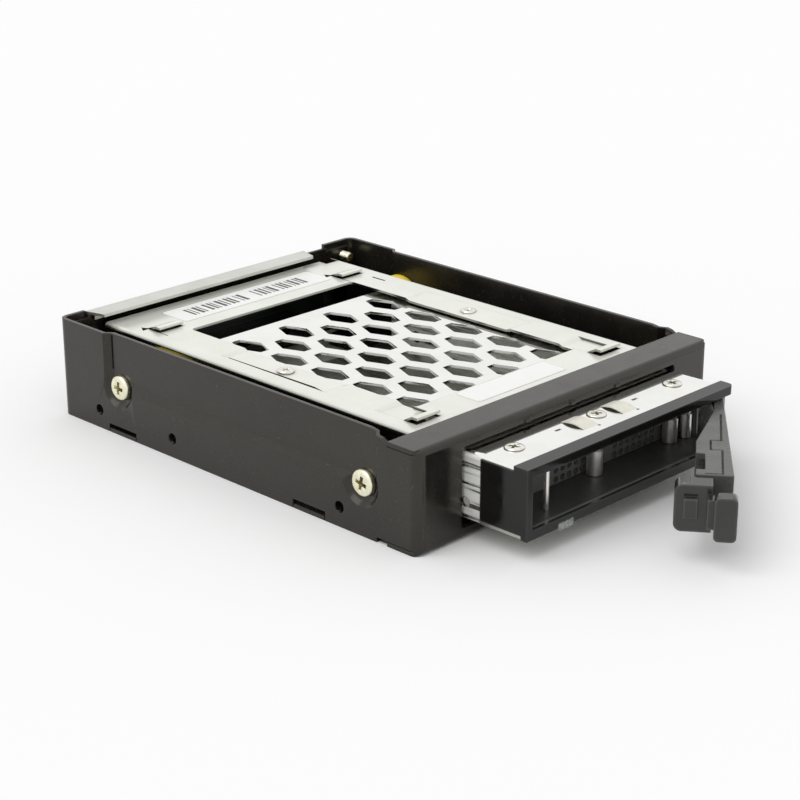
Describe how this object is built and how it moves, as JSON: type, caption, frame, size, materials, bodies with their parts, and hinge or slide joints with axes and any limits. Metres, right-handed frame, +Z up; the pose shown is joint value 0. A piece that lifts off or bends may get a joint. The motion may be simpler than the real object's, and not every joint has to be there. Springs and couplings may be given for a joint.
{
  "type": "hard drive cage",
  "caption": "Folded-steel bay cage with a slide-out tray for one small drive, swing lever with sliding lock, and backplane.",
  "frame": {"origin": "centre of the shell's bottom face", "axes": "+X to the right seen from the front, +Y from the front to the back, +Z up"},
  "size_m": [0.1016, 0.1782, 0.0254],
  "materials": {
    "black_paint": "fine satin black",
    "pale_steel": "dull plated sheet",
    "cage_steel": "bright plated sheet",
    "tray_steel": "mirror-bright sheet",
    "zinc": "pale yellow zinc plate",
    "nickel": "bright nickel plate",
    "black_plastic": "moulded",
    "grey_plastic": "moulded",
    "yellow_rubber": "matte",
    "board": "solder mask",
    "clear_plastic": "clear"
  },
  "bodies": {
    "housing": {"outer_shell": "black_paint", "bottom_plate": "black_paint", "rear_plate": "black_paint", "rear_strip": "pale_steel", "rear_plate_screws": "zinc", "cage_cover": "cage_steel", "cage_base": "cage_steel", "cage_top_screws": "nickel", "shell_screws": "zinc", "left_damper": "yellow_rubber", "right_damper": "yellow_rubber", "left_front_damper": "yellow_rubber", "right_front_damper": "yellow_rubber", "left_guide_rail": "black_plastic", "right_guide_rail": "black_plastic", "backplane_board": "board", "drive_socket": "black_plastic", "rear_data_connector": "black_plastic", "rear_power_connector": "black_plastic", "backplane_screws": "nickel"},
    "tray": {"tray_cover": "tray_steel", "tray_base": "tray_steel", "tray_front": "black_plastic", "tray_cover_screws": "nickel", "tray_posts": "nickel", "latch_pin": "nickel", "lever_pin": "nickel", "light_lens": "clear_plastic"},
    "lever": {"lever": "grey_plastic"},
    "lock": {"lever_lock": "grey_plastic"}
  },
  "joints": [
    {"name": "tray_slide", "type": "slide", "parent": "housing", "child": "tray", "axis": [0, -1, 0], "range_m": [-0.018, 0.07]},
    {"name": "lever_hinge", "type": "hinge", "parent": "tray", "child": "lever", "pos_m": [0.0335, -0.0765, 0.0132], "axis": [0, 0, 1], "range_deg": [-36.5, 43.5]},
    {"name": "lock_slide", "type": "slide", "parent": "lever", "child": "lock", "axis": [-0.8039, -0.5948, 0], "range_m": [0, 0.0015]}
  ]
}
